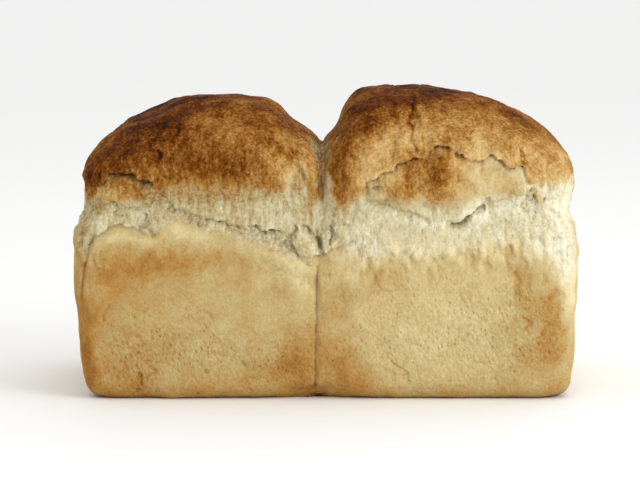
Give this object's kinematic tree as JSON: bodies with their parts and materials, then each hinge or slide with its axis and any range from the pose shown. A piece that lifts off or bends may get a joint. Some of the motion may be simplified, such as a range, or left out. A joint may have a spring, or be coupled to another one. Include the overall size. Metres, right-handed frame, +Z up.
{
  "type": "tin loaf",
  "caption": "High-topped white tin loaf: flared tin-moulded walls, a pale torn break above the rim and domed brown crusts meeting in a deep cleft.",
  "frame": {"origin": "the middle of the flat base, on the surface that the loaf stands on", "axes": "+X along the loaf, +Y towards its back, +Z up"},
  "size_m": [0.239, 0.128, 0.1465],
  "materials": {
    "crust": "dry baked crust: brown on the domes, cream where it tore, golden on the walls"
  },
  "bodies": {
    "root": {"loaf": "crust"}
  },
  "joints": []
}
